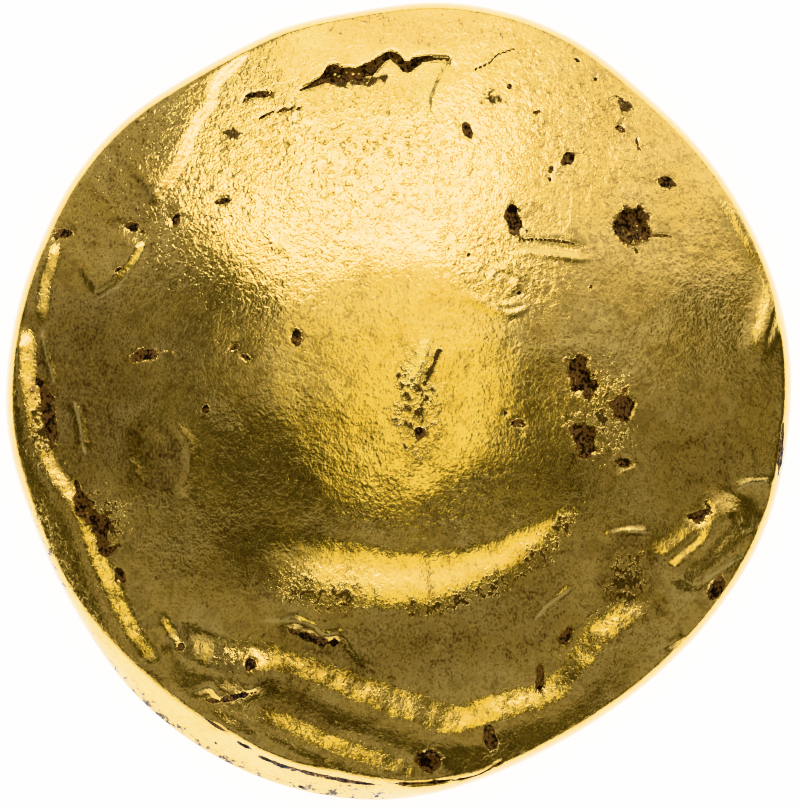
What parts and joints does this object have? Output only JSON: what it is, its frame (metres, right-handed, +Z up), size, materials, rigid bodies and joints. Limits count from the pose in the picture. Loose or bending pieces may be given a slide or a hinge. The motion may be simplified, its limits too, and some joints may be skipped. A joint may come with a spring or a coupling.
{
  "type": "struck gold coin",
  "caption": "Hand-struck gold stater: a thick round flan with a broad boss, lipped rim and dished underside.",
  "frame": {"origin": "on the surface that the coin lies on, under the middle of its outline", "axes": "+Z up out of the bossed face, +Y towards the top of the pictured face, +X to its right"},
  "size_m": [0.017, 0.0172, 0.0029],
  "materials": {
    "gold": "worn polished gold with hairline scratches and dark earth left in its pits"
  },
  "bodies": {
    "root": {"coin": "gold"}
  },
  "joints": []
}
